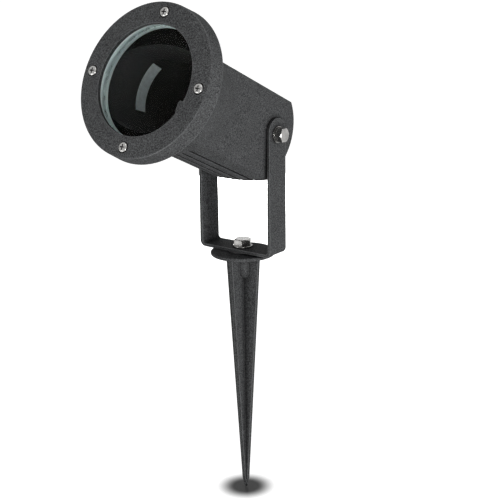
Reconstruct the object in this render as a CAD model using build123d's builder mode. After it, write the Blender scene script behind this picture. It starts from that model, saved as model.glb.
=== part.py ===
"""Garden spike spotlight: round-bezel die-cast head in a strap bracket on a ground spike.

Millimetres. +Z up, the head looks toward -Y, the tilt hinge runs along X.
The origin is the centre of the flange's underside, where it meets the ground.
The head is drawn about its own axis: z forward from the hinge, y up, x across.
"""

import os
from math import cos, radians, sin, sqrt

from build123d import *

os.makedirs("parts", exist_ok=True)

# ---------------------------------------------------------------- fits
FREE = 0.2  # radial clearance of a shank in a plain hole
SEATED = 0.05  # radial clearance of a shank in its tapped hole
ADHESIVE = 0.02  # film under the label
OVERSHOOT = 1.0  # by which a cutting shape runs past what it cuts

# ---------------------------------------------------------------- spike and flange
FLANGE_R = 20.0
FLANGE_T = 2.3
FLANGE_ROUND = 0.9
BLADE_TOP = 12.6  # half span of the blades under the flange
BLADE_LOW = 2.0  # half span where the point starts
BLADE_T = 2.2
BLADE_DEPTH = 151.9
TIP_DEPTH = 158.1
BOSS_R = 5.2
BOSS_STRAIGHT = 10.6
BOSS_ROUND_R = 4.3
BOSS_ROUND_DEPTH = 13.6
BOSS_END_R = 1.8
BOSS_DEPTH = 15.5
TAPPED_DEPTH = 12.0

# ---------------------------------------------------------------- bracket
SWIVEL_PAD_T = 0.8  # friction washer under the strap
SWIVEL_PAD_R = 9.0
STRAP_T = 1.8
STRAP_W = 16.5
STRAP_HALF = 27.0  # outer face of an arm from the centre plane
STRAP_BEND = 3.8  # outer bend radius
ARM_END_RISE = 1.4  # centre of the arm's round end above the hinge
HINGE_RISE = 75.0  # hinge axis above the strap's underside
STRAP_Z = FLANGE_T + SWIVEL_PAD_T
HINGE_Z = STRAP_Z + HINGE_RISE
ARM_TOP = HINGE_Z + ARM_END_RISE
ARM_INNER = STRAP_HALF - STRAP_T

# ---------------------------------------------------------------- fasteners
M3_R = 1.5
M4_R = 2.0
M5_R = 2.5
M6_R = 3.0
M5_AF = 8.0
M6_AF = 10.0
PAN_R = 2.95
PAN_H = 2.1
PAN_ROUND = 0.9
RECESS_L = 3.3
RECESS_W = 0.8
RECESS_DEPTH = 1.2
M5_HEAD_H = 3.5
M6_HEAD_H = 4.0
BEVEL = 0.6  # on the end of a bolt
HEX_TOP = 0.46  # radius of a hexagon head's top circle, over its width across flats
HEX_BEVEL = 60.0  # half angle of the cone that trims its corners

# ---------------------------------------------------------------- bezel, gasket and glass
TILT = 25.4  # degrees above level in the photo
FRONT = 96.5  # hinge to the bezel's front face
BEZEL_R = 45.0
BEZEL_DRAFT = 0.6  # radius gained from the front edge to the rear edge
BEZEL_DEPTH = 10.0
BEZEL_WALL = 3.5
BEZEL_ROUND = 0.6
SKIRT_T = 1.8
SKIRT_GAP = 0.3
RIM_W = 12.5  # from the opening's edge to the bezel's edge
LIP_T = 2.5
SCREW_LAND = 2.7  # from the gasket's pocket to a screw's centre
SCREW_CLOCK = -3.0
SINK_R = 3.5
SINK_DEPTH = 1.3
BEZEL_SCREW_L = 8.0
GLASS_OVERLAP = 2.5
GLASS_T = 4.0
GLASS_REAR = 88.6
GASKET_WALL = 1.1
GASKET_REVEAL = 0.5  # from the opening's edge to the gasket's lips
GASKET_SEAT = 86.3
OPENING_R = BEZEL_R - RIM_W
GLASS_R = OPENING_R + GLASS_OVERLAP
GASKET_R = GLASS_R + GASKET_WALL
GASKET_IN_R = OPENING_R + GASKET_REVEAL
POCKET_R = GASKET_R + FREE
SCREW_CIRCLE = POCKET_R + SCREW_LAND
SKIRT_IN_R = BEZEL_R - SKIRT_T
BEZEL_REAR = FRONT - BEZEL_DEPTH
FLANGE_FACE = FRONT - BEZEL_WALL
LIP_REAR = FRONT - LIP_T
SCREW_XY = [
    (SCREW_CIRCLE * cos(radians(SCREW_CLOCK + turn)), SCREW_CIRCLE * sin(radians(SCREW_CLOCK + turn)))
    for turn in (0, 90, 180, 270)
]
# small pip on the edge of the opening: angle of each corner, and how far it stands inside the edge
NIB_POLAR = ((-17.3, -OVERSHOOT), (-18.6, 2.3), (-21.5, 2.6), (-30.0, 0.8), (-31.5, -OVERSHOOT))
NIB = [
    ((OPENING_R - inside) * cos(radians(turn)), (OPENING_R - inside) * sin(radians(turn)))
    for turn, inside in NIB_POLAR
]
LABEL_FRONT = 67.6
LABEL_REAR = 61.0
LABEL_TURN = 141.0
LABEL_SPAN = 62.0
LABEL_T = 0.2

# ---------------------------------------------------------------- body behind the bezel
FLANGE_FIT_R = SKIRT_IN_R - SKIRT_GAP
SIDE_REAR = 23.7  # half width at the back
SIDE_FRONT = 27.1  # half width at the bezel
SIDE_BARREL = 1.1  # the sides fall away toward their top and bottom edges
TOP_CROWN = 27.3
TOP_ARC = 68.5
LOW_CROWN = 31.5
LOW_ARC = 55.9
TALL = 35.0  # half height that clears the crowned faces
SLAB_HALF = FLANGE_FIT_R + OVERSHOOT  # half width over which the crowned faces are drawn
BODY_REAR = -24.0
CONE_TIP_Z = 45.5  # where the cone meets the flat side
CONE_TIP_R = 25.9
SLOTS = 6
SLOT_PITCH = 6.2
SLOT_W = 2.2
TOP_SLOT = 1.7
LOW_SLOT = 2.1
SIDE_ZONE = 15.0  # edges centred further out than this bound the sides
LONG_EDGE = 60.0  # shorter edges lie behind the hinge
REAR_ROUND = 3.0
LOW_ROUND = 2.2
FLANGE_REAR = 83.2  # the skirt hides the flange from the front
REAR_PROFILE = (
    (8.5, -31.6),
    (-4.5, -29.1),
    (-13.5, -22.2),
    (-19.3, -12.0),
    (-22.2, 0.0),
    (-20.5, 12.0),
    (-15.0, 21.4),
    (-6.5, 27.4),
)

# ---------------------------------------------------------------- chamber and hinge pads
CORE_Y = -2.0  # mid height of the body, where lamp, terminals and cable entry stand
WALL = 2.4
FIN_WALL = 2.2  # metal left under a cooling slot
CHAMBER_R = OPENING_R + 0.1
CHAMBER_TIP_R = 21.0
CHAMBER_TIP = 41.0
WELL_FRONT = 60.0
WELL_FRONT_R = 23.6
WELL_Z = -6.0
WELL_R = 21.4
FLOOR_Z = -16.0
FLOOR_R = 12.0
PAD_R = 8.0
HINGE_PAD_T = 0.5
PAD_FACE = ARM_INNER - HINGE_PAD_T
HINGE_BOSS_R = 5.5
HINGE_BOSS_IN = 15.6
HINGE_BOLT_L = 12.0
HINGE_WASHER_R = 5.0
HINGE_WASHER_T = 1.0
HINGE_SPRING_R = 4.4
HINGE_SPRING_T = 1.2
SPRING_SPLIT = 0.9

# ---------------------------------------------------------------- cable entry
GLAND_SEAT = -24.0
GLAND_BOSS_R = 10.0
GLAND_R = 6.0
GLAND_AF = 15.0
GLAND_SEAL_T = 1.0
GLAND_FLANGE_T = 4.0
GLAND_NUT_T = 11.0
GLAND_THREAD = 14.0
LOCKNUT_T = 3.0
LOCKNUT_AF = 17.0
SLEEVE_R = 5.8
SLEEVE_L = 7.0
SEAL_R = 4.9
NUT_BASE_R = 7.2
NUT_SHOULDER = 5.5
NUT_DOME_R = 6.6
NUT_DOME = 9.35
NUT_MOUTH_R = 5.0
CORD_R = 3.3
CORD_ROOM = 0.5
GLAND_WASHER_R = 7.2
NUT_FLATS = 6.6  # length of the nut's spanner flats

# ---------------------------------------------------------------- lamp holder and terminals
PLATE_Z = 12.0
PLATE_T = 1.2
PLATE_W = 14.0
PLATE_EAR = 6.4
POST_Y = 17.4
POST_R = 3.4
POST_FOOT = -11.5
PLATE_SCREW_L = 8.0
HOLDER_R = 13.0
HOLDER_H = 20.0
HOLDER_SCREW_Y = 8.8
HOLDER_BEVEL = 0.6
HOLDER_SCREW_L = 18.0
HOLDER_SINK_R = 3.2
HOLDER_SINK = 3.0
PIN_PITCH = 10.0
SOCKET_R = 2.7
SOCKET_SLOT_R = 1.8
SOCKET_TURN = 35.0
SOCKET_DEPTH = 12.0
CONTACT_R = 1.4
CONTACT_H = 2.5
TERMINAL_L = 27.0
TERMINAL_W = 16.0
TERMINAL_H = 12.0
TERMINAL_BEVEL = 2.0
POLES = 3
POLE_PITCH = 8.4
POLE_HOLE_R = 1.9
POLE_SCREW_X = 4.0
POLE_SCREW_R = 1.7
POLE_SCREW_L = 5.0
POLE_SCREW_SUNK = 0.5
EARTH_XY = (-12.2, -12.2)
EARTH_Z = 4.0
EARTH_POST_R = 3.4
EARTH_SCREW_L = 8.0
TAG_R = 4.0
TAG_T = 0.8
TAG_L = 9.0
TAG_NECK_W = 2.6

TILTED = (0, -cos(radians(TILT)), sin(radians(TILT)))
HEAD = Plane(origin=(0, 0, HINGE_Z), x_dir=(1, 0, 0), z_dir=TILTED)
HEAD_AXIS = Axis(HEAD.origin, HEAD.z_dir)


# ================================================================ drawing helpers
def head(z=0.0):
    """Plane across the head's axis, z forward of the hinge."""
    return HEAD.offset(z)


def meridian(turn=0.0):
    """Plane through the head's axis: its x is the radius, its y is forward."""
    radial = HEAD.x_dir * cos(radians(turn)) + HEAD.y_dir * sin(radians(turn))
    return Plane(origin=HEAD.origin, x_dir=radial, z_dir=radial.cross(HEAD.z_dir))


def side_view():
    """Plane along the head: its x is forward, its y is up."""
    return Plane(origin=HEAD.origin, x_dir=HEAD.z_dir, z_dir=-HEAD.x_dir)


def seat(x, y, z, out=1):
    """Plane at a point of the head that faces forward, or backward."""
    return Plane(origin=HEAD.from_local_coords((x, y, z)), x_dir=HEAD.x_dir, z_dir=HEAD.z_dir * out)


def core(x, y, z, out=1):
    """Seat measured from the middle line of the lamp, terminals and cable entry."""
    return seat(x, CORE_Y + y, z, out)


def hinge_seat(side, x):
    """Plane on the hinge axis that faces outward on one side."""
    return Plane(origin=(side * x, 0, HINGE_Z), x_dir=(0, -side, 0), z_dir=(side, 0, 0))


def rod(plane, radius, length, mode=Mode.ADD):
    """Cylinder that stands on a plane."""
    with BuildSketch(plane) as face:
        Circle(radius)
    extrude(face.sketch, amount=length, mode=mode)


def ring(plane, outer, inner, thick):
    """Flat ring that stands on a plane."""
    with BuildSketch(plane) as face:
        Circle(outer)
        Circle(inner, mode=Mode.SUBTRACT)
    extrude(face.sketch, amount=thick)


def hexagon(plane, flats, height):
    """Hexagon prism with the corners of its top trimmed by a cone."""
    with BuildSketch(plane) as face:
        RegularPolygon(radius=flats / 2, side_count=6, major_radius=False)
    prism = extrude(face.sketch, amount=height, mode=Mode.PRIVATE)
    top = HEX_TOP * flats
    reach = height * sin(radians(HEX_BEVEL)) / cos(radians(HEX_BEVEL))
    cap = Cone(top + reach, top, height, align=(Align.CENTER, Align.CENTER, Align.MIN), mode=Mode.PRIVATE)
    add(prism & (plane.location * cap))


def pan_screw(plane, shank, length, recess=False):
    """Pan-head screw whose head stands on a plane, cross-recessed where it is seen."""
    scale = shank / M3_R
    with BuildSketch(plane) as face:
        Circle(PAN_R * scale)
    button = extrude(face.sketch, amount=PAN_H * scale, mode=Mode.PRIVATE)
    rim = button.edges().sort_by(Axis(plane.origin, plane.z_dir))[-1]
    if recess:
        button = button.fillet(PAN_ROUND * scale, [rim])
        with BuildSketch(plane.offset(PAN_H * scale)) as cross:
            Rectangle(RECESS_L * scale, RECESS_W * scale)
            Rectangle(RECESS_W * scale, RECESS_L * scale)
        button -= extrude(cross.sketch, amount=-RECESS_DEPTH * scale, mode=Mode.PRIVATE)
    else:
        button = button.chamfer(PAN_ROUND * scale, None, [rim])
    add(button)
    rod(plane, shank, -length)


def local(shape):
    """Centre of an edge or face in the head's own axes."""
    return HEAD.to_local_coords(shape.center())


def side_edges(body):
    """Edges between the body's sides and its top, back and underside."""
    behind = BEZEL_REAR - OVERSHOOT
    return body.edges().filter_by(lambda e: abs(local(e).X) > SIDE_ZONE and local(e).Z < behind)


def finish(part, name):
    """Name a finished piece and write it."""
    part.label = name
    export_step(part, f"parts/{name}.step")


def crown(x, middle, arc):
    """Height of a crowned face at x."""
    return middle - arc + sqrt(arc * arc - x * x)


def crowned_slab(top_depth, low_depth, mode=Mode.INTERSECT):
    """Slab between faces parallel to the crowned top and underside, at depths inside them."""
    middle, arc = TOP_CROWN - top_depth, TOP_ARC - top_depth
    upper = [(x, crown(x, middle, arc)) for x in (-SLAB_HALF, 0, SLAB_HALF)]
    middle, arc = LOW_CROWN - low_depth, LOW_ARC - low_depth
    lower = [(x, -crown(x, middle, arc)) for x in (SLAB_HALF, 0, -SLAB_HALF)]
    with BuildSketch(head(BODY_REAR)) as outline:
        with BuildLine():
            ThreePointArc(*upper)
            Line(upper[-1], lower[0])
            ThreePointArc(*lower)
            Line(lower[-1], upper[0])
        make_face()
    extrude(outline.sketch, amount=FRONT - BODY_REAR, mode=mode)


# ================================================================ spike
with BuildPart() as spike:
    with BuildSketch():
        Circle(FLANGE_R)
    extrude(amount=FLANGE_T)
    fillet(spike.edges().filter_by(GeomType.CIRCLE), radius=FLANGE_ROUND)
    for plane in (Plane.XZ, Plane.YZ):
        with BuildSketch(plane.offset(-BLADE_T / 2)):
            with BuildLine():
                Polyline((-BLADE_TOP, 0), (-BLADE_LOW, -BLADE_DEPTH), (0, -TIP_DEPTH))
                Polyline((0, -TIP_DEPTH), (BLADE_LOW, -BLADE_DEPTH), (BLADE_TOP, 0))
                Polyline((BLADE_TOP, 0), (BLADE_TOP, FLANGE_T / 2), (-BLADE_TOP, FLANGE_T / 2), (-BLADE_TOP, 0))
            make_face()
        extrude(amount=BLADE_T)
    with BuildSketch(Plane.XZ):
        with BuildLine():
            Polyline((BOSS_R, -BOSS_STRAIGHT), (BOSS_R, FLANGE_T / 2), (0, FLANGE_T / 2), (0, -BOSS_DEPTH))
            Line((0, -BOSS_DEPTH), (BOSS_END_R, -BOSS_DEPTH))
            ThreePointArc((BOSS_END_R, -BOSS_DEPTH), (BOSS_ROUND_R, -BOSS_ROUND_DEPTH), (BOSS_R, -BOSS_STRAIGHT))
        make_face()
    revolve(axis=Axis.Z)
    rod(Plane.XY.offset(FLANGE_T), M6_R + SEATED, -FLANGE_T - TAPPED_DEPTH, mode=Mode.SUBTRACT)
finish(spike.part, "spike")

# ================================================================ swivel joint
SWIVEL_WASHER_R = 6.0
SWIVEL_WASHER_T = 1.0
WASHER_BEVEL = 0.2
SWIVEL_BOLT_L = 16.0
SWIVEL_SEAT = STRAP_Z + STRAP_T
SWIVEL_HEAD = SWIVEL_SEAT + SWIVEL_WASHER_T

with BuildPart() as swivel_friction_washer:
    ring(Plane.XY.offset(FLANGE_T), SWIVEL_PAD_R, M6_R + FREE, SWIVEL_PAD_T)
finish(swivel_friction_washer.part, "swivel_friction_washer")

with BuildPart() as swivel_washer:
    ring(Plane.XY.offset(SWIVEL_SEAT), SWIVEL_WASHER_R, M6_R + FREE, SWIVEL_WASHER_T)
    chamfer(swivel_washer.faces().sort_by(Axis.Z)[-1].outer_wire().edges(), length=WASHER_BEVEL)
finish(swivel_washer.part, "swivel_washer")

with BuildPart() as swivel_bolt:
    hexagon(Plane.XY.offset(SWIVEL_HEAD), M6_AF, M6_HEAD_H)
    rod(Plane.XY.offset(SWIVEL_HEAD), M6_R, -SWIVEL_BOLT_L)
    chamfer(swivel_bolt.faces().sort_by(Axis.Z)[0].edges(), length=BEVEL)
finish(swivel_bolt.part, "swivel_bolt")

# ================================================================ bracket
with BuildPart() as bracket:
    with BuildSketch(Plane.XZ.offset(-STRAP_W / 2)):
        with BuildLine():
            FilletPolyline(
                (-STRAP_HALF, ARM_TOP + STRAP_W),
                (-STRAP_HALF, STRAP_Z),
                (STRAP_HALF, STRAP_Z),
                (STRAP_HALF, ARM_TOP + STRAP_W),
                radius=STRAP_BEND,
            )
            offset(amount=STRAP_T, side=Side.LEFT)
        make_face()
    extrude(amount=STRAP_W)
    with BuildSketch(Plane.YZ.offset(-STRAP_HALF - OVERSHOOT)):
        with Locations((0, STRAP_Z - OVERSHOOT)):
            Rectangle(STRAP_W, ARM_TOP - STRAP_Z + OVERSHOOT, align=(Align.CENTER, Align.MIN))
        with Locations((0, ARM_TOP)):
            Circle(STRAP_W / 2)
    extrude(amount=2 * (STRAP_HALF + OVERSHOOT), mode=Mode.INTERSECT)
    with BuildSketch(Plane.YZ.offset(-STRAP_HALF)):
        with Locations((0, HINGE_Z)):
            Circle(M5_R + FREE)
    extrude(amount=2 * STRAP_HALF, mode=Mode.SUBTRACT)
    rod(Plane.XY.offset(STRAP_Z), M6_R + FREE, STRAP_T, mode=Mode.SUBTRACT)
finish(bracket.part, "bracket")

# ================================================================ housing
with BuildPart() as bell:  # round cone from the flange back to the flat sides
    with BuildSketch(meridian()):
        with BuildLine():
            Polyline(
                (0, CONE_TIP_Z),
                (CONE_TIP_R, CONE_TIP_Z),
                (FLANGE_FIT_R, BEZEL_REAR),
                (0, BEZEL_REAR),
                close=True,
            )
        make_face()
    revolve(axis=HEAD_AXIS)
    crowned_slab(0, 0)

with BuildPart() as chamber:  # reflector cone and wiring well, a wall inside the crowned faces
    with BuildSketch(meridian()):
        with BuildLine():
            Polyline(
                (0, GASKET_SEAT),
                (CHAMBER_R, GASKET_SEAT),
                (CHAMBER_TIP_R, CHAMBER_TIP),
                (0, CHAMBER_TIP),
                close=True,
            )
        make_face()
    revolve(axis=HEAD_AXIS)
    well_plane = Plane(core(0, 0, 0).origin, x_dir=HEAD.x_dir, z_dir=-HEAD.y_dir)
    with BuildSketch(well_plane):
        with BuildLine():
            Polyline(
                (0, WELL_FRONT),
                (WELL_FRONT_R, WELL_FRONT),
                (WELL_R, WELL_Z),
                (FLOOR_R, FLOOR_Z),
                (0, FLOOR_Z),
                close=True,
            )
        make_face()
    revolve(axis=Axis(well_plane.origin, HEAD.z_dir))
    crowned_slab(TOP_SLOT + FIN_WALL, LOW_SLOT + FIN_WALL)

with BuildPart() as housing:
    # crowned top and underside, tapering sides, and the rounded back
    crowned_slab(0, 0, mode=Mode.ADD)
    for z, wide in ((BODY_REAR, SIDE_REAR), (BEZEL_REAR, SIDE_FRONT)):
        with BuildSketch(head(z)):
            with BuildLine():
                ThreePointArc((wide - SIDE_BARREL, -TALL), (wide, 0), (wide - SIDE_BARREL, TALL))
                Line((wide - SIDE_BARREL, TALL), (SIDE_BARREL - wide, TALL))
                ThreePointArc((SIDE_BARREL - wide, TALL), (-wide, 0), (SIDE_BARREL - wide, -TALL))
                Line((SIDE_BARREL - wide, -TALL), (wide - SIDE_BARREL, -TALL))
            make_face()
    loft(ruled=True, mode=Mode.INTERSECT)
    with BuildSketch(side_view().offset(-SLAB_HALF)):
        with BuildLine():
            Spline(*REAR_PROFILE)
            Polyline(
                REAR_PROFILE[-1],
                (REAR_PROFILE[-1][0], TALL),
                (BEZEL_REAR, TALL),
                (BEZEL_REAR, -TALL),
                (REAR_PROFILE[0][0], -TALL),
                REAR_PROFILE[0],
            )
        make_face()
    extrude(amount=2 * SLAB_HALF, mode=Mode.INTERSECT)
    fillet(side_edges(housing).filter_by(lambda e: local(e).Z < 0), radius=REAR_ROUND)
    ahead = side_edges(housing).filter_by(lambda e: local(e).Z > 0)
    fillet(ahead.filter_by(lambda e: local(e).Y < 0 and e.length > LONG_EDGE), radius=LOW_ROUND)
    # cooling slots between the fins, run out where the back curves away
    for n in range(SLOTS):
        x = (n - (SLOTS - 1) / 2) * SLOT_PITCH
        floors = (crown(x, TOP_CROWN, TOP_ARC) - TOP_SLOT, -crown(x, LOW_CROWN, LOW_ARC) + LOW_SLOT)
        with BuildSketch(head(BODY_REAR)):
            with Locations((x, floors[0])):
                Rectangle(SLOT_W, TALL, align=(Align.CENTER, Align.MIN))
            with Locations((x, floors[1])):
                Rectangle(SLOT_W, TALL, align=(Align.CENTER, Align.MAX))
        extrude(amount=BEZEL_REAR - BODY_REAR, mode=Mode.SUBTRACT)
    add(bell.part)
    # mounting flange, cable entry boss and hinge pads
    rod(head(FLANGE_REAR), FLANGE_FIT_R, FLANGE_FACE - FLANGE_REAR)
    rod(core(0, 0, GLAND_SEAT), GLAND_BOSS_R, WELL_Z - GLAND_SEAT)
    for side in (1, -1):
        rod(hinge_seat(side, PAD_FACE), PAD_R, -WALL)
    # chamber and the gasket's pocket
    add(chamber.part, mode=Mode.SUBTRACT)
    rod(head(GASKET_SEAT), POCKET_R, FLANGE_FACE - GASKET_SEAT, mode=Mode.SUBTRACT)
    # bosses left standing in the chamber
    for side in (1, -1):
        rod(hinge_seat(side, PAD_FACE), HINGE_BOSS_R, HINGE_BOSS_IN - PAD_FACE)
        rod(core(0, side * POST_Y, PLATE_Z, -1), POST_R, PLATE_Z - POST_FOOT)
    rod(core(*EARTH_XY, EARTH_Z, -1), EARTH_POST_R, EARTH_Z - POST_FOOT)
    # tapped and plain holes
    for side in (1, -1):
        rod(hinge_seat(side, PAD_FACE), M5_R + SEATED, HINGE_BOSS_IN + OVERSHOOT - PAD_FACE, mode=Mode.SUBTRACT)
        rod(core(0, side * POST_Y, PLATE_Z), M3_R + SEATED, -PLATE_SCREW_L, mode=Mode.SUBTRACT)
    rod(core(*EARTH_XY, EARTH_Z), M4_R + SEATED, -EARTH_SCREW_L, mode=Mode.SUBTRACT)
    for x, y in SCREW_XY:
        rod(seat(x, y, FLANGE_FACE), M3_R + SEATED, -BEZEL_SCREW_L + OVERSHOOT, mode=Mode.SUBTRACT)
    rod(core(0, 0, GLAND_SEAT), GLAND_R + SEATED, FLOOR_Z - GLAND_SEAT, mode=Mode.SUBTRACT)
finish(housing.part, "housing")

# ================================================================ bezel, gasket and glass
with BuildPart() as bezel_ring:
    with BuildSketch(meridian()):
        with BuildLine():
            Polyline(
                (OPENING_R, FRONT),
                (BEZEL_R, FRONT),
                (BEZEL_R + BEZEL_DRAFT, BEZEL_REAR),
                (SKIRT_IN_R, BEZEL_REAR),
                (SKIRT_IN_R, FLANGE_FACE),
                (POCKET_R, FLANGE_FACE),
                (POCKET_R, LIP_REAR),
                (OPENING_R, LIP_REAR),
                close=True,
            )
        make_face()
    revolve(axis=HEAD_AXIS)
    front = bezel_ring.faces().sort_by(HEAD_AXIS)[-1]
    fillet(front.outer_wire().edges(), radius=BEZEL_ROUND)
    with BuildSketch(head(LIP_REAR)):
        with BuildLine():
            Polyline(*NIB, close=True)
        make_face()
    extrude(amount=LIP_T)
    for x, y in SCREW_XY:
        rod(seat(x, y, FLANGE_FACE), M3_R + FREE, BEZEL_WALL, mode=Mode.SUBTRACT)
        rod(seat(x, y, FRONT), SINK_R, -SINK_DEPTH, mode=Mode.SUBTRACT)
finish(bezel_ring.part, "bezel_ring")

with BuildPart() as bezel_screws:
    for x, y in SCREW_XY:
        pan_screw(seat(x, y, FRONT - SINK_DEPTH), M3_R, BEZEL_SCREW_L, recess=True)
finish(bezel_screws.part, "bezel_screws")

with BuildPart() as glass_gasket:
    with BuildSketch(meridian()):
        with BuildLine():
            Polyline(
                (GASKET_IN_R, GASKET_SEAT),
                (GASKET_R, GASKET_SEAT),
                (GASKET_R, LIP_REAR),
                (GASKET_IN_R, LIP_REAR),
                (GASKET_IN_R, GLASS_REAR + GLASS_T),
                (GLASS_R, GLASS_REAR + GLASS_T),
                (GLASS_R, GLASS_REAR),
                (GASKET_IN_R, GLASS_REAR),
                close=True,
            )
        make_face()
    revolve(axis=HEAD_AXIS)
finish(glass_gasket.part, "glass_gasket")

with BuildPart() as glass_lens:
    rod(head(GLASS_REAR), GLASS_R, GLASS_T)
finish(glass_lens.part, "glass_lens")

with BuildPart() as rating_label:
    slope = (CHAMBER_R - CHAMBER_TIP_R) / (GASKET_SEAT - CHAMBER_TIP)
    near_r = CHAMBER_R - slope * (GASKET_SEAT - LABEL_REAR) - ADHESIVE
    far_r = CHAMBER_R - slope * (GASKET_SEAT - LABEL_FRONT) - ADHESIVE
    with BuildSketch(meridian(LABEL_TURN)):
        with BuildLine():
            Polyline(
                (near_r, LABEL_REAR),
                (far_r, LABEL_FRONT),
                (far_r - LABEL_T, LABEL_FRONT),
                (near_r - LABEL_T, LABEL_REAR),
                close=True,
            )
        make_face()
    revolve(axis=HEAD_AXIS, revolution_arc=LABEL_SPAN)
finish(rating_label.part, "rating_label")

# ================================================================ hinge bolts and washers
FLAT_SEAT = STRAP_HALF
SPRING_SEAT = FLAT_SEAT + HINGE_WASHER_T
BOLT_SEAT = SPRING_SEAT + HINGE_SPRING_T

with BuildPart() as pivot_friction_washers:
    for side in (1, -1):
        ring(hinge_seat(side, PAD_FACE), PAD_R, M5_R + FREE, HINGE_PAD_T)
finish(pivot_friction_washers.part, "pivot_friction_washers")

with BuildPart() as pivot_washers:
    for side in (1, -1):
        ring(hinge_seat(side, FLAT_SEAT), HINGE_WASHER_R, M5_R + FREE, HINGE_WASHER_T)
finish(pivot_washers.part, "pivot_washers")

with BuildPart() as pivot_spring_washers:
    for side in (1, -1):
        ring(hinge_seat(side, SPRING_SEAT), HINGE_SPRING_R, M5_R + FREE, HINGE_SPRING_T)
        with BuildSketch(hinge_seat(side, SPRING_SEAT)):
            Rectangle(SPRING_SPLIT, HINGE_SPRING_R + OVERSHOOT, align=(Align.CENTER, Align.MAX))
        extrude(amount=HINGE_SPRING_T, mode=Mode.SUBTRACT)
finish(pivot_spring_washers.part, "pivot_spring_washers")

with BuildPart() as pivot_bolts:
    for side in (1, -1):
        hexagon(hinge_seat(side, BOLT_SEAT), M5_AF, M5_HEAD_H)
        rod(hinge_seat(side, BOLT_SEAT), M5_R, -HINGE_BOLT_L)
finish(pivot_bolts.part, "pivot_bolts")

# ================================================================ cable gland
def gland(depth):
    """Plane across the gland that faces out of the housing, depth behind the boss."""
    return core(0, 0, GLAND_SEAT - depth, -1)


GLAND_BODY = GLAND_SEAL_T + GLAND_FLANGE_T
GLAND_AXIS = Axis(gland(0).origin, gland(0).z_dir)

with BuildPart() as gland_washer:
    ring(gland(0), GLAND_WASHER_R, GLAND_R + SEATED, GLAND_SEAL_T)
finish(gland_washer.part, "gland_washer")

with BuildPart() as cable_gland_body:
    hexagon(gland(GLAND_SEAL_T), GLAND_AF, GLAND_FLANGE_T)
    rod(gland(GLAND_SEAL_T), GLAND_R, -GLAND_THREAD)
    rod(gland(GLAND_BODY), SLEEVE_R, SLEEVE_L)
    rod(gland(GLAND_BODY + SLEEVE_L), SEAL_R, -SLEEVE_L - GLAND_FLANGE_T, mode=Mode.SUBTRACT)
    rod(gland(GLAND_BODY), CORD_R + CORD_ROOM, -GLAND_BODY - GLAND_THREAD, mode=Mode.SUBTRACT)
finish(cable_gland_body.part, "cable_gland_body")

with BuildPart() as gland_seal:
    ring(gland(GLAND_SEAL_T), SEAL_R, CORD_R, GLAND_FLANGE_T + SLEEVE_L)
finish(gland_seal.part, "gland_seal")

with BuildPart() as gland_nut:
    hexagon(gland(GLAND_BODY), GLAND_AF, NUT_FLATS)
    with BuildSketch(Plane(gland(GLAND_BODY).origin, x_dir=HEAD.x_dir, z_dir=HEAD.y_dir)):
        with BuildLine():
            Polyline((0, 0), (0, GLAND_NUT_T), (NUT_MOUTH_R, GLAND_NUT_T))
            ThreePointArc((NUT_MOUTH_R, GLAND_NUT_T), (NUT_DOME_R, NUT_DOME), (NUT_BASE_R, NUT_SHOULDER))
            Polyline((NUT_BASE_R, NUT_SHOULDER), (NUT_BASE_R, 0), (0, 0))
        make_face()
    revolve(axis=GLAND_AXIS)
    rod(gland(GLAND_BODY), SLEEVE_R + SEATED, SLEEVE_L + SEATED, mode=Mode.SUBTRACT)
    rod(gland(GLAND_BODY), CORD_R + CORD_ROOM, GLAND_NUT_T, mode=Mode.SUBTRACT)
finish(gland_nut.part, "gland_nut")

with BuildPart() as gland_locknut:
    hexagon(core(0, 0, FLOOR_Z), LOCKNUT_AF, LOCKNUT_T)
    rod(core(0, 0, FLOOR_Z), GLAND_R + SEATED, LOCKNUT_T, mode=Mode.SUBTRACT)
finish(gland_locknut.part, "gland_locknut")

# ================================================================ lamp holder
HOLDER_Z = PLATE_Z + PLATE_T
HOLDER_TOP = HOLDER_Z + HOLDER_H


def pin_path(start):
    """Arc along which a lamp pin turns into its lock."""
    return Edge.make_circle(PIN_PITCH / 2, start_angle=start, end_angle=start + SOCKET_TURN)


with BuildPart() as lamp_holder_plate:
    with BuildSketch(core(0, 0, PLATE_Z)):
        SlotOverall(2 * POST_Y + PLATE_EAR, PLATE_EAR, rotation=90)
        Rectangle(PLATE_W, 2 * HOLDER_R)
        with Locations((0, POST_Y), (0, -POST_Y)):
            Circle(M3_R + FREE, mode=Mode.SUBTRACT)
        with Locations((0, HOLDER_SCREW_Y), (0, -HOLDER_SCREW_Y)):
            Circle(M3_R + SEATED, mode=Mode.SUBTRACT)
        Circle(CORD_R, mode=Mode.SUBTRACT)
    extrude(amount=PLATE_T)
finish(lamp_holder_plate.part, "lamp_holder_plate")

with BuildPart() as plate_screws:
    for side in (1, -1):
        pan_screw(core(0, side * POST_Y, HOLDER_Z), M3_R, PLATE_SCREW_L)
finish(plate_screws.part, "plate_screws")

with BuildPart() as lamp_holder:
    rod(core(0, 0, HOLDER_Z), HOLDER_R, HOLDER_H)
    chamfer(lamp_holder.faces().sort_by(HEAD_AXIS)[-1].edges(), length=HOLDER_BEVEL)
    with BuildSketch(core(0, 0, HOLDER_TOP)):
        for start in (0, 180):
            with PolarLocations(PIN_PITCH / 2, 1, start_angle=start):
                Circle(SOCKET_R)
            SlotArc(pin_path(start), 2 * SOCKET_SLOT_R)
    extrude(amount=-SOCKET_DEPTH, mode=Mode.SUBTRACT)
    for side in (1, -1):
        rod(core(0, side * HOLDER_SCREW_Y, HOLDER_TOP), HOLDER_SINK_R, -HOLDER_SINK, mode=Mode.SUBTRACT)
        rod(core(0, side * HOLDER_SCREW_Y, HOLDER_TOP), M3_R + FREE, -HOLDER_H, mode=Mode.SUBTRACT)
finish(lamp_holder.part, "lamp_holder")

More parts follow.
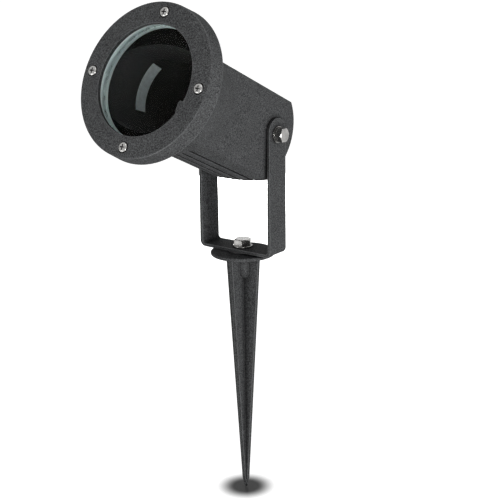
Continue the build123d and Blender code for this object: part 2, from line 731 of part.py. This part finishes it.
with BuildPart() as lamp_holder_contacts:
    with BuildSketch(core(0, 0, HOLDER_TOP - SOCKET_DEPTH)):
        for start in (0, 180):
            SlotArc(pin_path(start), 2 * CONTACT_R)
    extrude(amount=CONTACT_H)
finish(lamp_holder_contacts.part, "lamp_holder_contacts")

with BuildPart() as lamp_holder_screws:
    for side in (1, -1):
        pan_screw(core(0, side * HOLDER_SCREW_Y, HOLDER_TOP - HOLDER_SINK), M3_R, HOLDER_SCREW_L)
finish(lamp_holder_screws.part, "lamp_holder_screws")

# ================================================================ terminals and earth
TERMINAL_Z = PLATE_Z - TERMINAL_H
POLE_YS = [(n - (POLES - 1) / 2) * POLE_PITCH for n in range(POLES)]
POLE_SCREWS = [(side * POLE_SCREW_X, y) for side in (1, -1) for y in POLE_YS]

with BuildPart() as terminal_block:
    with BuildSketch(core(0, 0, TERMINAL_Z)):
        Rectangle(TERMINAL_W, TERMINAL_L)
    extrude(amount=TERMINAL_H)
    lower = terminal_block.faces().sort_by(HEAD_AXIS)[0]
    chamfer(lower.edges().filter_by(Axis(HEAD.origin, HEAD.y_dir)), length=TERMINAL_BEVEL)
    with BuildSketch(Plane(core(0, 0, TERMINAL_Z + TERMINAL_H / 2).origin, HEAD.y_dir, HEAD.x_dir)):
        with Locations(*[(y, 0) for y in POLE_YS]):
            Circle(POLE_HOLE_R)
    extrude(amount=TERMINAL_W, both=True, mode=Mode.SUBTRACT)
    for x, y in POLE_SCREWS:
        rod(core(x, y, TERMINAL_Z), POLE_SCREW_R + SEATED, TERMINAL_H / 2, mode=Mode.SUBTRACT)
finish(terminal_block.part, "terminal_block")

with BuildPart() as terminal_screws:
    for x, y in POLE_SCREWS:
        rod(core(x, y, TERMINAL_Z + POLE_SCREW_SUNK), POLE_SCREW_R, POLE_SCREW_L)
finish(terminal_screws.part, "terminal_screws")

with BuildPart() as earth_tag:
    with BuildSketch(core(*EARTH_XY, EARTH_Z)):
        Circle(TAG_R)
        with Locations((0, TAG_L / 2)):
            Rectangle(TAG_NECK_W, TAG_L)
        Circle(M4_R + FREE, mode=Mode.SUBTRACT)
    extrude(amount=TAG_T)
finish(earth_tag.part, "earth_tag")

with BuildPart() as earth_screw:
    pan_screw(core(*EARTH_XY, EARTH_Z + TAG_T), M4_R, EARTH_SCREW_L)
finish(earth_screw.part, "earth_screw")
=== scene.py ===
"""Looks of the garden spike spotlight: finishes, floor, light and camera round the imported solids.

Metres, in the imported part's own frame: +Z up, the head looks toward -Y.
"""

from math import radians

import bpy
from mathutils import Matrix, Vector


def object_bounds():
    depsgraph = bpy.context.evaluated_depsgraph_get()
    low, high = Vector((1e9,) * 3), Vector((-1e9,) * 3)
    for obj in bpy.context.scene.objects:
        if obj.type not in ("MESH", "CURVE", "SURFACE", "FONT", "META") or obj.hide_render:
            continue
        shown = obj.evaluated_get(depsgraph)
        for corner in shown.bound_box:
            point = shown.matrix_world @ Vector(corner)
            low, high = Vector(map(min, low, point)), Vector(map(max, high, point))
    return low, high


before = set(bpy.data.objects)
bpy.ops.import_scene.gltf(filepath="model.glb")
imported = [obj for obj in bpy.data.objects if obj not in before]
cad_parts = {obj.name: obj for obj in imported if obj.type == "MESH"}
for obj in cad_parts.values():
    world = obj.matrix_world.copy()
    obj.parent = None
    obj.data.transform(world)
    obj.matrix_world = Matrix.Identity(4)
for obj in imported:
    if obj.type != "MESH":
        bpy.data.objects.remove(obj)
CAD_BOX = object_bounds()
MM = 0.001

# ---------------------------------------------------------------- viewpoint of the photograph
CAMERA_AT = (0.47167, -0.62015, 0.22124)
CAMERA_LOOK = (-0.57837, 0.76961, -0.27053)
CAMERA_ROLL = -0.717  # degrees
CAMERA_NEAR = 0.01
LENS = 93.6  # millimetres, as is the sensor
SENSOR = 36.0

# ---------------------------------------------------------------- colours, linear
COAT_DARK = (0.020, 0.0205, 0.021)  # between the grains of the powder coat
COAT_LIGHT = (0.112, 0.1145, 0.117)  # on top of them
# colour of lightened sharp edges: partly worn coat, partly painted edge highlight
COAT_WORN_AND_HIGHLIGHT = (0.25, 0.255, 0.26)
STEEL = (0.40, 0.395, 0.385)
SILICONE = (0.80, 0.93, 0.92)
STEATITE = (0.72, 0.69, 0.63)
BRASS = (0.60, 0.42, 0.16)
BLACK_PLASTIC = (0.012, 0.012, 0.013)
WHITE_PLASTIC = (0.62, 0.61, 0.58)
LABEL_FILM = (0.80, 0.86, 0.88)
GLASS_CLEAN = (0.97, 0.99, 0.985)
GLASS_DUSTY = (0.93, 0.96, 0.955)
BLACK = (0.0, 0.0, 0.0)
WHITE = (1.0, 1.0, 1.0)
FLOOR_WHITE = (0.5, 0.5, 0.5)

# ---------------------------------------------------------------- textures, cells per metre
CAST_SAND = 1550.0
STRAP_SAND = 1450.0
COAT_MOTTLE = 60.0
METAL_LINES = 900.0
METAL_CLOUDS = 260.0
MOULD_GRAIN = 1400.0
MOULD_CLOUDS = 120.0
GLASS_DUST = 70.0
FILM_CLOUDS = 500.0
NOISE_SPAN = (0.3, 0.7)  # nearly all values of a noise
SAND_SPAN = (0.38, 0.64)  # from a dark gap to the top of a light grain
DUST_SPAN = (0.4, 0.7)

# ---------------------------------------------------------------- relief and edges
CAST_RELIEF = 0.7  # share of the depth that shows
STRAP_RELIEF = 0.6
LINE_RELIEF = 0.25
GRAIN_RELIEF = 0.2
SAND_DEPTH = 0.12 * MM
LINE_DEPTH = 0.02 * MM
GRAIN_DEPTH = 0.04 * MM
CAST_CORNER = 0.35 * MM  # radius to which sharp corners are softened
STRAP_CORNER = 0.3 * MM
METAL_CORNER = 0.12 * MM
MOULD_CORNER = 0.2 * MM
EDGE_COSINES = (0.995, 0.85)  # rounded normal to true normal: on flat surface, on an edge
# sharp edges lightened, partly as worn coat, partly as painted edge highlight
WEAR_AND_HIGHLIGHT_WIDTH = 0.6 * MM
WEAR_AND_HIGHLIGHT_SPAN = (0.1, 1.0)
WEAR_AND_HIGHLIGHT_MOST = 0.75
PROBES = 6  # samples of the nodes that look round a point

# ---------------------------------------------------------------- painted shade in places that are closed in
# (reach, span of openness in which the shade is painted, share of the colour that is left)
HOLLOW_SHADE = (60 * MM, (0.05, 0.4), 0.3)  # painted shade in the lamp chamber
SLOT_SHADE = (4 * MM, (0.4, 0.95), 0.12)  # painted shade in slots and joints of coated metal
RECESS_SHADE = (1.6 * MM, (0.4, 0.9), 0.08)  # painted shade in recesses of screw heads

# ---------------------------------------------------------------- sheen and clouds
COAT_ROUGH = (0.85, 0.7)  # in the gaps, on the grains
COAT_SHEEN = 0.05  # next to none on a sand texture
COAT_BATCH = (0.92, 1.06)  # tone of the darkest and of the lightest mottle
BEZEL_PAINTED_LIGHT = 1.1  # the ring's coat is painted a little lighter than the housing's, as painted light
METAL_DULL = 0.72  # tone of its dull clouds
METAL_STREAKS = 0.14  # how much rougher its roughest streaks are
MOULD_GRIT = 0.12
GLASS_ROUGH = (0.015, 0.06)  # clean, dusty
GLASS_IOR = 1.08  # low, so that the chamber shows through more than the surround mirrors
FILM_ROUGH = 0.45
FILM_DULL = 0.8
FLOOR_ROUGH = 0.9

# ---------------------------------------------------------------- light
SKY_LEVEL = 0.16
LAMPS = {  # name: (place, width, watts)
    "right": ((0.85, -0.05, 0.0), 0.14, 3.8),
    "front_right": ((0.56, -0.63, -0.06), 0.14, 3.0),
    "front_left": ((-0.38, -0.75, 0.10), 0.2, 2.0),
    "overhead": ((0.04, -0.42, 0.90), 0.36, 1.2),
    "back": ((-0.64, 0.72, -0.05), 0.2, 5.5),
}
LAMPS_AIM = (0.0, 0.0, 0.02)

# ---------------------------------------------------------------- floor
FLOOR_SIZE = 16.0
FLOOR_DROP = 0.2 * MM  # below the spike's tip
FLOOR_GLOW = 0.93  # with the lamps' light on top, the floor shows white
PAINTED_SHADOW_CORE = 0.0075  # painted contact shadow round the tip: radius of its dark core and of its end
PAINTED_SHADOW_END = 0.0225
PAINTED_SHADOW_DEPTH = 0.993


# ================================================================ shader helpers
class Tree:
    """Nodes of a material or of the world."""

    def __init__(self, owner):
        owner.use_nodes = True
        self.nodes = owner.node_tree.nodes
        self.links = owner.node_tree.links

    def add(self, kind, **settings):
        """Adds a node and sets its properties."""
        node = self.nodes.new(kind)
        for key, value in settings.items():
            setattr(node, key, value)
        return node

    def join(self, source, target):
        """Links an output socket to an input socket."""
        self.links.new(source, target)

    def math(self, operation, first, second, clamp=False):
        """Works out one value from two."""
        node = self.add("ShaderNodeMath", operation=operation, use_clamp=clamp)
        self.join(first, node.inputs[0])
        self.join(second, node.inputs[1])
        return node.outputs[0]

    def spread(self, value, span, to_low=0.0, to_high=1.0, curve="LINEAR"):
        """Maps a value from a span to the range from to_low to to_high, and clamps it."""
        node = self.add("ShaderNodeMapRange", interpolation_type=curve)
        low, high = span
        node.inputs["From Min"].default_value = low
        node.inputs["From Max"].default_value = high
        node.inputs["To Min"].default_value = to_low
        node.inputs["To Max"].default_value = to_high
        self.join(value, node.inputs["Value"])
        return node.outputs["Result"]

    def seen_directly(self):
        """1 for camera, mirror and see-through rays that met no matt surface first, else 0."""
        path = self.add("ShaderNodeLightPath").outputs
        shown = self.math("MAXIMUM", path["Is Camera Ray"], path["Is Glossy Ray"])
        shown = self.math("MAXIMUM", shown, path["Is Transmission Ray"])
        return self.math("SUBTRACT", shown, path["Diffuse Depth"], clamp=True)


class Shader(Tree):
    """A material being built from nodes round one principled shader."""

    def __init__(self, name):
        self.material = bpy.data.materials.new(name)
        super().__init__(self.material)
        self.bsdf = next(n for n in self.nodes if n.type == "BSDF_PRINCIPLED")
        self.output = next(n for n in self.nodes if n.type == "OUTPUT_MATERIAL")

    def set(self, **values):
        """Gives the principled shader's inputs numbers or sockets; underscores stand for spaces."""
        for key, value in values.items():
            socket = self.bsdf.inputs[key.replace("_", " ")]
            if isinstance(value, float):
                socket.default_value = value
            else:
                self.join(value, socket)

    def here(self):
        """The object's own coordinates."""
        return self.add("ShaderNodeTexCoord").outputs["Object"]

    def noise(self, scale, detail=2.0, rough=0.5, finer=None):
        """Noise over the object's own coordinates; finer multiplies its scale along each axis."""
        where = self.here()
        if finer:
            mapping = self.add("ShaderNodeMapping")
            mapping.inputs["Scale"].default_value = finer
            self.join(where, mapping.inputs["Vector"])
            where = mapping.outputs["Vector"]
        tex = self.add("ShaderNodeTexNoise")
        tex.inputs["Scale"].default_value = scale
        tex.inputs["Detail"].default_value = detail
        tex.inputs["Roughness"].default_value = rough
        self.join(where, tex.inputs["Vector"])
        return tex.outputs["Fac"]

    def blend(self, factor, first, second):
        """Mixes two colours, each a colour or a socket."""
        node = self.add("ShaderNodeMix", data_type="RGBA")
        self.join(factor, node.inputs["Factor"])
        for socket, value in ((node.inputs[6], first), (node.inputs[7], second)):
            if isinstance(value, tuple):
                socket.default_value = (*value, 1.0)
            else:
                self.join(value, socket)
        return node.outputs[2]

    def times(self, colour, factor):
        """Multiplies a colour by a factor."""
        node = self.add("ShaderNodeVectorMath", operation="SCALE")
        self.join(colour, node.inputs[0])
        self.join(factor, node.inputs["Scale"])
        return node.outputs[0]

    def painted_shade(self, colour, place):
        """Paints shade: darkens a colour where little can be seen from the surface within a reach.
        """
        reach, span, left = place
        node = self.add("ShaderNodeAmbientOcclusion", samples=PROBES)
        node.inputs["Distance"].default_value = reach
        return self.times(colour, self.spread(node.outputs["AO"], span, to_low=left))

    def rounded(self, radius):
        """Normal that turns smoothly round sharp edges."""
        bevel = self.add("ShaderNodeBevel", samples=PROBES)
        bevel.inputs["Radius"].default_value = radius
        return bevel.outputs["Normal"]

    def edges(self, width):
        """0 on flat surface, rising to 1 within a width of a sharp edge."""
        dot = self.add("ShaderNodeVectorMath", operation="DOT_PRODUCT")
        self.join(self.rounded(width), dot.inputs[0])
        self.join(self.add("ShaderNodeNewGeometry").outputs["True Normal"], dot.inputs[1])
        return self.spread(dot.outputs["Value"], EDGE_COSINES)

    def bump(self, height, strength, depth, corner):
        """Relief from a height, over corners softened by a radius."""
        node = self.add("ShaderNodeBump")
        node.inputs["Strength"].default_value = strength
        node.inputs["Distance"].default_value = depth
        self.join(height, node.inputs["Height"])
        self.join(self.rounded(corner), node.inputs["Normal"])
        self.join(node.outputs["Normal"], self.bsdf.inputs["Normal"])


# ================================================================ finishes
def scaled(values, factor):
    """Values, such as a colour's, multiplied by a factor."""
    return tuple(factor * v for v in values)


def powder_coat(name, sand_scale, relief, corner, painted_light=1.0):
    """Anthracite sand-textured powder coat on cast or bent metal, with painted shade in slots and
    the lamp chamber and lighter edges that are both wear and painted highlight; the last argument
    scales its lightness, as painted light on the bezel.
    """
    s = Shader(name)
    sand = s.noise(sand_scale, detail=3.0, rough=0.7)
    mottle = s.noise(COAT_MOTTLE)
    # on the bezel the mottle is scaled lighter as painted light
    darkest, lightest = scaled(COAT_BATCH, painted_light)
    # lighter sharp edges: worn coat and painted edge highlight
    worn_and_highlit = s.spread(s.edges(WEAR_AND_HIGHLIGHT_WIDTH), WEAR_AND_HIGHLIGHT_SPAN, to_high=WEAR_AND_HIGHLIGHT_MOST)
    tone = s.blend(s.spread(sand, SAND_SPAN), COAT_DARK, COAT_LIGHT)
    tone = s.times(tone, s.spread(mottle, NOISE_SPAN, darkest, lightest))
    tone = s.blend(worn_and_highlit, tone, COAT_WORN_AND_HIGHLIGHT)
    # painted shade in the lamp chamber and in slots and joints
    tone = s.painted_shade(tone, HOLLOW_SHADE)
    tone = s.painted_shade(tone, SLOT_SHADE)
    rough = s.spread(sand, NOISE_SPAN, *COAT_ROUGH)
    s.set(Base_Color=tone, Roughness=rough, Specular_IOR_Level=COAT_SHEEN)
    s.bump(sand, relief, SAND_DEPTH, corner)
    return s.material


def metal(name, colour, rough, finer):
    """Bright metal with fine drawn streaks and painted shade in its recesses."""
    s = Shader(name)
    line = s.noise(METAL_LINES, detail=3.0, rough=0.6, finer=finer)
    cloud = s.noise(METAL_CLOUDS)
    tone = s.blend(s.spread(cloud, NOISE_SPAN), scaled(colour, METAL_DULL), colour)
    # painted shade in the screw heads' recesses
    tone = s.painted_shade(tone, RECESS_SHADE)
    streaks = s.spread(line, NOISE_SPAN, rough, rough + METAL_STREAKS)
    s.set(Base_Color=tone, Roughness=streaks, Metallic=1.0)
    s.bump(line, LINE_RELIEF, LINE_DEPTH, METAL_CORNER)
    return s.material


def moulded(name, colour, rough, darkest):
    """Moulded plastic, rubber or fired ceramic with a slight grain; darkest is its clouds' tone."""
    s = Shader(name)
    grain = s.noise(MOULD_GRAIN, detail=3.0, rough=0.6)
    cloud = s.noise(MOULD_CLOUDS)
    tone = s.blend(s.spread(cloud, NOISE_SPAN), scaled(colour, darkest), colour)
    grit = s.spread(grain, NOISE_SPAN, rough, rough + MOULD_GRIT)
    s.set(Base_Color=tone, Roughness=grit)
    s.bump(grain, GRAIN_RELIEF, GRAIN_DEPTH, MOULD_CORNER)
    return s.material


def clear_glass(name):
    """Clear tempered glass with a faint film of dust."""
    s = Shader(name)
    dust = s.noise(GLASS_DUST, detail=3.0)
    tone = s.blend(s.spread(dust, DUST_SPAN), GLASS_CLEAN, GLASS_DUSTY)
    rough = s.spread(dust, DUST_SPAN, *GLASS_ROUGH)
    s.set(Base_Color=tone, Roughness=rough, IOR=GLASS_IOR, Transmission_Weight=1.0)
    return s.material


def label_film(name):
    """Silver-grey label film, slightly cloudy and without words."""
    s = Shader(name)
    cloud = s.noise(FILM_CLOUDS)
    tone = s.blend(s.spread(cloud, NOISE_SPAN), scaled(LABEL_FILM, FILM_DULL), LABEL_FILM)
    s.set(Base_Color=tone, Roughness=FILM_ROUGH)
    return s.material


FINISHES = (  # each with the nodes that wear it
    (powder_coat("powder_coat_cast", CAST_SAND, CAST_RELIEF, CAST_CORNER), ("housing", "spike")),
    (
        powder_coat("powder_coat_bezel", CAST_SAND, CAST_RELIEF, CAST_CORNER, BEZEL_PAINTED_LIGHT),
        ("bezel_ring",),
    ),
    (powder_coat("powder_coat_strap", STRAP_SAND, STRAP_RELIEF, STRAP_CORNER), ("bracket",)),
    (
        metal("stainless_steel", STEEL, 0.16, (1.0, 1.0, 6.0)),
        (
            "bezel_screws",
            "pivot_bolts",
            "pivot_spring_washers",
            "pivot_washers",
            "swivel_bolt",
            "swivel_washer",
            "plate_screws",
            "lamp_holder_screws",
            "earth_screw",
            "lamp_holder_plate",
        ),
    ),
    (moulded("silicone_gasket", SILICONE, 0.42, 0.95), ("glass_gasket",)),
    (moulded("black_rubber", BLACK_PLASTIC, 0.6, 0.8), ("gland_seal", "gland_washer")),
    (clear_glass("clear_glass"), ("glass_lens",)),
    (moulded("steatite", STEATITE, 0.5, 0.9), ("lamp_holder",)),
    (
        metal("brass", BRASS, 0.28, (1.0, 4.0, 1.0)),
        ("lamp_holder_contacts", "terminal_screws", "earth_tag"),
    ),
    (moulded("terminal_plastic", WHITE_PLASTIC, 0.4, 0.92), ("terminal_block",)),
    (
        moulded("black_plastic", BLACK_PLASTIC, 0.38, 0.85),
        (
            "gland_nut",
            "cable_gland_body",
            "gland_locknut",
            "pivot_friction_washers",
            "swivel_friction_washer",
        ),
    ),
    (label_film("label_film"), ("rating_label",)),
)

for finish, wearers in FINISHES:
    for name in wearers:
        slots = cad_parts[name].data.materials
        slots.clear()
        slots.append(finish)


# ================================================================ floor, light and camera
def make_floor():
    """Pale floor at the spike's tip that shows white, keeps the lamps' shadows and has a painted
    contact shadow round the tip.
    """
    low = CAD_BOX[0][2]
    bpy.ops.mesh.primitive_plane_add(size=FLOOR_SIZE, location=(0, 0, low - FLOOR_DROP))
    floor = bpy.context.object
    floor.name = "floor"
    s = Shader("pale_floor")
    from_tip = s.add("ShaderNodeVectorMath", operation="LENGTH")
    s.join(s.here(), from_tip.inputs[0])
    # painted contact shadow: darkens the floor's colour and its glow round the tip
    shadow = (PAINTED_SHADOW_CORE, PAINTED_SHADOW_END)
    painted_lit = s.spread(from_tip.outputs["Value"], shadow, 1.0 - PAINTED_SHADOW_DEPTH, 1.0, "SMOOTHSTEP")
    s.set(Base_Color=s.blend(painted_lit, BLACK, FLOOR_WHITE), Roughness=FLOOR_ROUGH)
    glow = s.add("ShaderNodeEmission")
    s.join(s.blend(painted_lit, BLACK, WHITE), glow.inputs["Color"])
    glow.inputs["Strength"].default_value = FLOOR_GLOW
    both = s.add("ShaderNodeAddShader")
    s.join(s.bsdf.outputs[0], both.inputs[0])
    s.join(glow.outputs[0], both.inputs[1])
    pick = s.add("ShaderNodeMixShader")
    s.join(s.seen_directly(), pick.inputs[0])
    s.join(s.bsdf.outputs[0], pick.inputs[1])
    s.join(both.outputs[0], pick.inputs[2])
    s.join(pick.outputs[0], s.output.inputs["Surface"])
    floor.data.materials.append(s.material)


def make_world():
    """White studio surround: full white to the eye, softer as light."""
    world = bpy.data.worlds.new("studio")
    bpy.context.scene.world = world
    tree = Tree(world)
    background = tree.nodes["Background"]
    background.inputs["Color"].default_value = (*WHITE, 1.0)
    level = tree.spread(tree.seen_directly(), (0.0, 1.0), to_low=SKY_LEVEL)
    tree.join(level, background.inputs["Strength"])


def make_lamp(name, place, width, watts):
    """Square soft box that faces the object."""
    data = bpy.data.lights.new(name, "AREA")
    data.shape = "SQUARE"
    data.size = width
    data.energy = watts
    lamp = bpy.data.objects.new(name, data)
    bpy.context.collection.objects.link(lamp)
    lamp.location = place
    aim = Vector(LAMPS_AIM) - Vector(place)
    lamp.rotation_euler = aim.to_track_quat("-Z", "Y").to_euler()


def make_camera():
    """Camera at the photograph's viewpoint."""
    data = bpy.data.cameras.new("camera")
    data.lens = LENS
    data.sensor_width = SENSOR
    data.clip_start = CAMERA_NEAR
    camera = bpy.data.objects.new("camera", data)
    bpy.context.collection.objects.link(camera)
    turn = Vector(CAMERA_LOOK).to_track_quat("-Z", "Y").to_matrix().to_4x4()
    roll = Matrix.Rotation(radians(CAMERA_ROLL), 4, "Z")
    camera.matrix_world = Matrix.Translation(CAMERA_AT) @ turn @ roll
    bpy.context.scene.camera = camera


make_floor()
make_world()
for name, (place, width, watts) in LAMPS.items():
    make_lamp(name, place, width, watts)
make_camera()
bpy.context.scene.view_settings.view_transform = "Standard"
